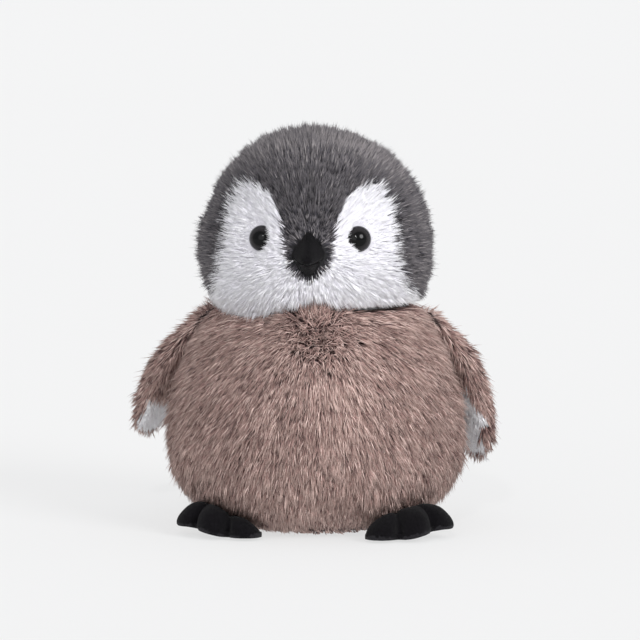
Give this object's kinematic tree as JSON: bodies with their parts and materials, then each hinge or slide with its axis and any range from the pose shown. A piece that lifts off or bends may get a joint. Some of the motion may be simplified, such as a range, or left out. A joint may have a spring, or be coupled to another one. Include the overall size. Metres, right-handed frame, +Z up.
{
  "type": "plush penguin chick",
  "caption": "Round sitting penguin chick in long-pile plush, with a grey head, white face patches, a brown body, a felt beak, felt feet and wings that swing.",
  "frame": {"origin": "centre of the flat disc under the body, on the surface that the toy sits on", "axes": "+Z up along the body, the face looks towards -Y, the toy's own left side is +X"},
  "size_m": [0.1623, 0.134, 0.1795],
  "materials": {
    "brown_plush": "long soft pile, brushed downwards, clumped into tufts",
    "grey_plush": "long soft pile, brushed up over the head",
    "white_plush": "soft white pile, brushed outwards from the beak",
    "black_felt": "short matt felt",
    "sole_felt": "short matt felt, paler than the top",
    "eye_plastic": "polished dome, dark brown towards the rim",
    "washer_plastic": "plain moulded",
    "stuffing": "loose polyester fibre",
    "pouch_cloth": "plain woven cloth",
    "bead_plastic": "plain plastic beads",
    "thread": "twisted thread"
  },
  "bodies": {
    "torso": {"chest_left": "brown_plush", "chest_right": "brown_plush", "back_left": "brown_plush", "back_right": "brown_plush", "base_panel": "brown_plush", "body_stuffing": "stuffing", "bead_pouch": "pouch_cloth", "beads": "bead_plastic", "neck_thread": "thread", "closing_stitches": "thread"},
    "head": {"head_gusset": "grey_plush", "head_side_left": "grey_plush", "head_side_right": "grey_plush", "face_left": "white_plush", "face_right": "white_plush", "head_stuffing": "stuffing", "eye_left": "eye_plastic", "eye_right": "eye_plastic", "eye_washer_left": "washer_plastic", "eye_washer_right": "washer_plastic", "beak_upper": "black_felt", "beak_lower": "black_felt", "beak_stuffing": "stuffing"},
    "wing_left": {"wing_left_outer": "brown_plush", "wing_left_inner": "white_plush", "wing_left_stuffing": "stuffing"},
    "wing_right": {"wing_right_outer": "brown_plush", "wing_right_inner": "white_plush", "wing_right_stuffing": "stuffing"},
    "foot_left": {"foot_left_top": "black_felt", "foot_left_sole": "sole_felt", "foot_left_stuffing": "stuffing"},
    "foot_right": {"foot_right_top": "black_felt", "foot_right_sole": "sole_felt", "foot_right_stuffing": "stuffing"}
  },
  "joints": [
    {"name": "head_turn", "type": "hinge", "parent": "torso", "child": "head", "pos_m": [0, 0, 0.104], "axis": [0, 0, 1], "range_deg": [-15, 15], "stiffness_Nm_per_rad": 0.05},
    {"name": "wing_left_lift", "type": "hinge", "parent": "torso", "child": "wing_left", "pos_m": [0.04555, 0.02124, 0.098], "axis": [0.4226, -0.9063, 0], "range_deg": [0, 48]},
    {"name": "wing_right_lift", "type": "hinge", "parent": "torso", "child": "wing_right", "pos_m": [-0.04555, 0.02124, 0.098], "axis": [0.4226, 0.9063, 0], "range_deg": [0, 35]},
    {"name": "foot_left_droop", "type": "hinge", "parent": "torso", "child": "foot_left", "pos_m": [0.03085, -0.02733, 0], "axis": [0.663, 0.7486, 0], "range_deg": [0, 15]},
    {"name": "foot_right_droop", "type": "hinge", "parent": "torso", "child": "foot_right", "pos_m": [-0.03383, -0.02354, 0], "axis": [0.5711, -0.8209, 0], "range_deg": [0, 15]}
  ]
}
